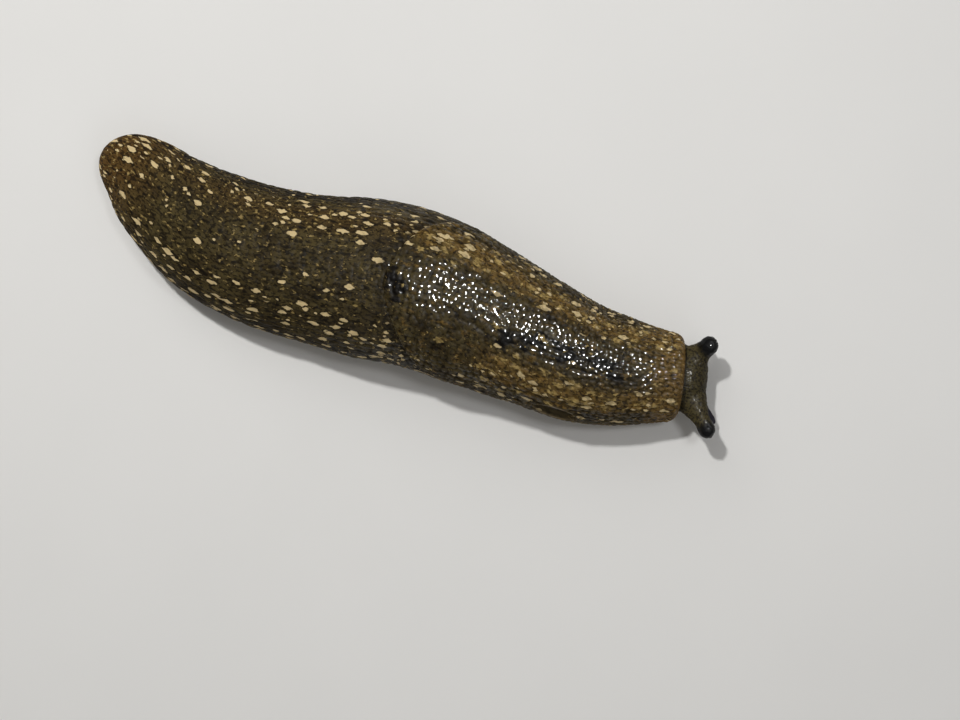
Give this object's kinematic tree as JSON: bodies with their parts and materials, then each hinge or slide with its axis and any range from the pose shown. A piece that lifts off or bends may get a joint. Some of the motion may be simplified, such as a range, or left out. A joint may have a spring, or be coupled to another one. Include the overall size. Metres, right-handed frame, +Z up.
{
  "type": "kerry slug model",
  "caption": "Still life-size model of a spotted slug crawling, with a granular mantle over its front, stalked eyes and a flat sole it rests on.",
  "frame": {"origin": "centre of the bounding box's footprint, on the surface that the sole rests on", "axes": "+X from tail to head along the body, +Y to the animal's left, +Z up"},
  "size_m": [0.0674, 0.0169, 0.0109],
  "materials": {
    "skin": "wet",
    "sole": "wet",
    "eye": "gloss"
  },
  "bodies": {
    "root": {"mantle": "skin", "neck": "skin", "head": "skin", "trunk_front": "skin", "trunk_middle": "skin", "trunk_rear": "skin", "tail": "skin", "foot_front": "sole", "foot_middle": "sole", "foot_rear": "sole", "tentacle_upper_left": "skin", "tentacle_upper_right": "skin", "tentacle_lower_left": "skin", "tentacle_lower_right": "skin", "eye_left": "eye", "eye_right": "eye"}
  },
  "joints": []
}
